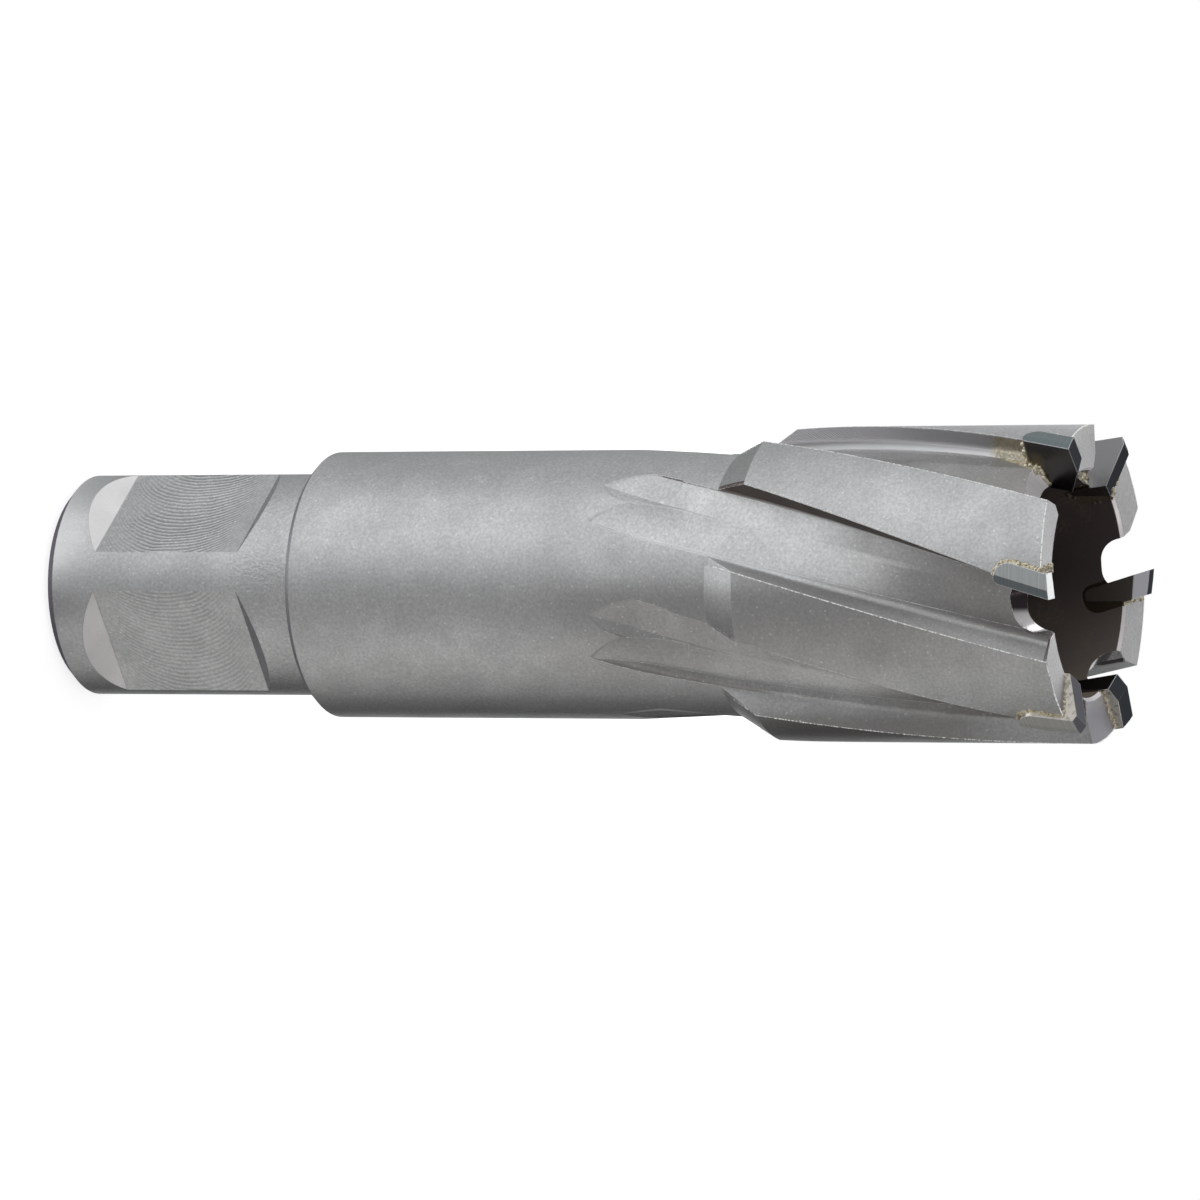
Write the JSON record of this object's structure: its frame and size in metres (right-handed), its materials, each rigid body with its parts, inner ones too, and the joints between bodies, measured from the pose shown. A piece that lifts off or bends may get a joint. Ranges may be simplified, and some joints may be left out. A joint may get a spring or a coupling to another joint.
{
  "type": "annular cutter",
  "caption": "Hollow annular cutter for steel: plain shank with driving flats, plain body, fluted cup head with brazed carbide tips round the mouth.",
  "frame": {"origin": "centre of the shank's end face, which the cutter stands on", "axes": "+Z along the tool axis, from the shank's end towards the cutting mouth; -X and -Y are the outward normals of the driving flats"},
  "size_m": [0.027, 0.0264, 0.0933],
  "materials": {
    "steel": "satin, bead blasted",
    "carbide": "ground",
    "braze": "rough"
  },
  "bodies": {
    "root": {"cutter_body": "steel", "carbide_tip_1": "carbide", "carbide_tip_2": "carbide", "carbide_tip_3": "carbide", "carbide_tip_4": "carbide", "carbide_tip_5": "carbide", "carbide_tip_6": "carbide", "braze_seam_1": "braze", "braze_seam_2": "braze", "braze_seam_3": "braze", "braze_seam_4": "braze", "braze_seam_5": "braze", "braze_seam_6": "braze"}
  },
  "joints": []
}
